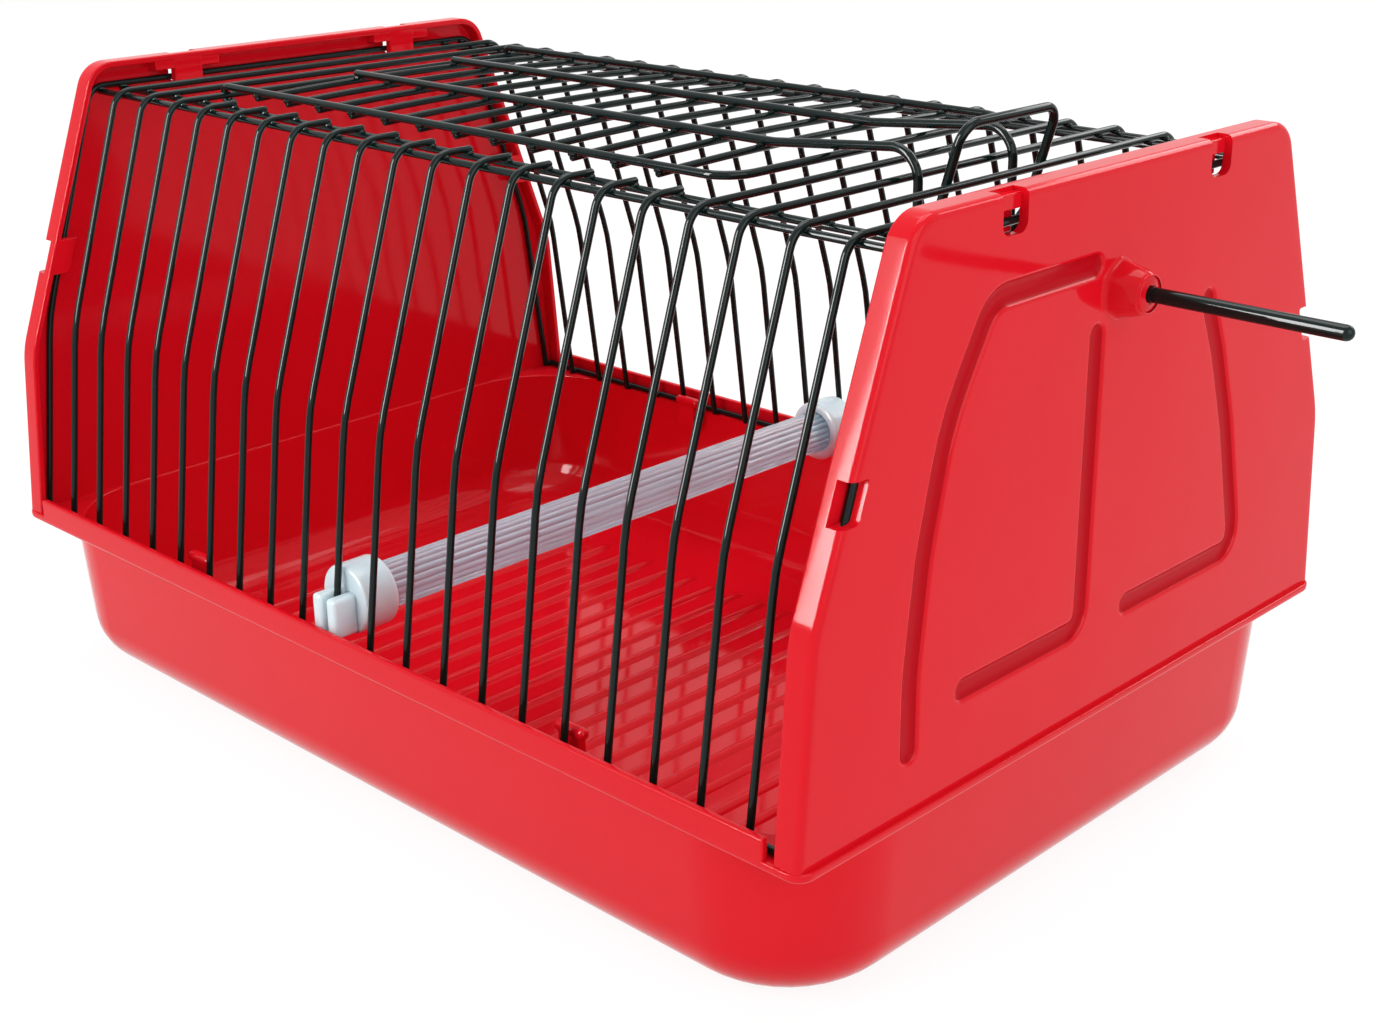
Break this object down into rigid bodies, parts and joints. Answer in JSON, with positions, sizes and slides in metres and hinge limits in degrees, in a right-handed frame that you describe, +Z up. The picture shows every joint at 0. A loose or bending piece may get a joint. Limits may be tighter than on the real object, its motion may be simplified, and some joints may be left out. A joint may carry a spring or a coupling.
{
  "type": "bird travel carrier",
  "caption": "Small carrier for cage birds: plastic tray and end panels, wire hood with a hinged roof door and sliding bolt, ribbed perch.",
  "frame": {"origin": "centre of the tray's resting face", "axes": "+Z up, +X along the carrier to the end with the bolt, -Y to the front"},
  "size_m": [0.3557, 0.2058, 0.1778],
  "materials": {
    "tray_red": "glossy moulded, deep red",
    "panel_red": "glossy moulded, deep red",
    "wire": "glossy black-green coating",
    "perch": "translucent, ribbed",
    "clip": "satin white, slightly translucent"
  },
  "bodies": {
    "tray": {"tray": "tray_red"},
    "hood": {"left_end_panel": "panel_red", "right_end_panel": "panel_red", "left_end_hoop": "wire", "right_end_hoop": "wire", "left_hoops": "wire", "right_hoops": "wire", "front_bars": "wire", "rear_bars": "wire", "front_outer_rail": "wire", "front_inner_rail": "wire", "rear_outer_rail": "wire", "rear_inner_rail": "wire", "front_sill_rail": "wire", "rear_sill_rail": "wire", "perch_bar": "perch", "front_perch_clip": "clip", "rear_perch_clip": "clip"},
    "door": {"door_frame": "wire", "door_cross_wires": "wire", "door_tongue": "wire"},
    "bail": {"finger_bail": "wire"},
    "bolt": {"bolt_rod": "wire"}
  },
  "joints": [
    {"name": "hood_lift", "type": "slide", "parent": "tray", "child": "hood", "axis": [0, 0, 1], "range_m": [0, 0.15]},
    {"name": "door_hinge", "type": "hinge", "parent": "hood", "child": "door", "pos_m": [-0.105, 0, 0.1632], "axis": [0, -1, 0], "range_deg": [0, 150]},
    {"name": "bail_pivot", "type": "hinge", "parent": "door", "child": "bail", "pos_m": [0.109, 0, 0.1382], "axis": [0, -1, 0], "range_deg": [0, 6]},
    {"name": "bolt_slide", "type": "slide", "parent": "hood", "child": "bolt", "axis": [-1, 0, 0], "range_m": [0, 0.04]}
  ]
}
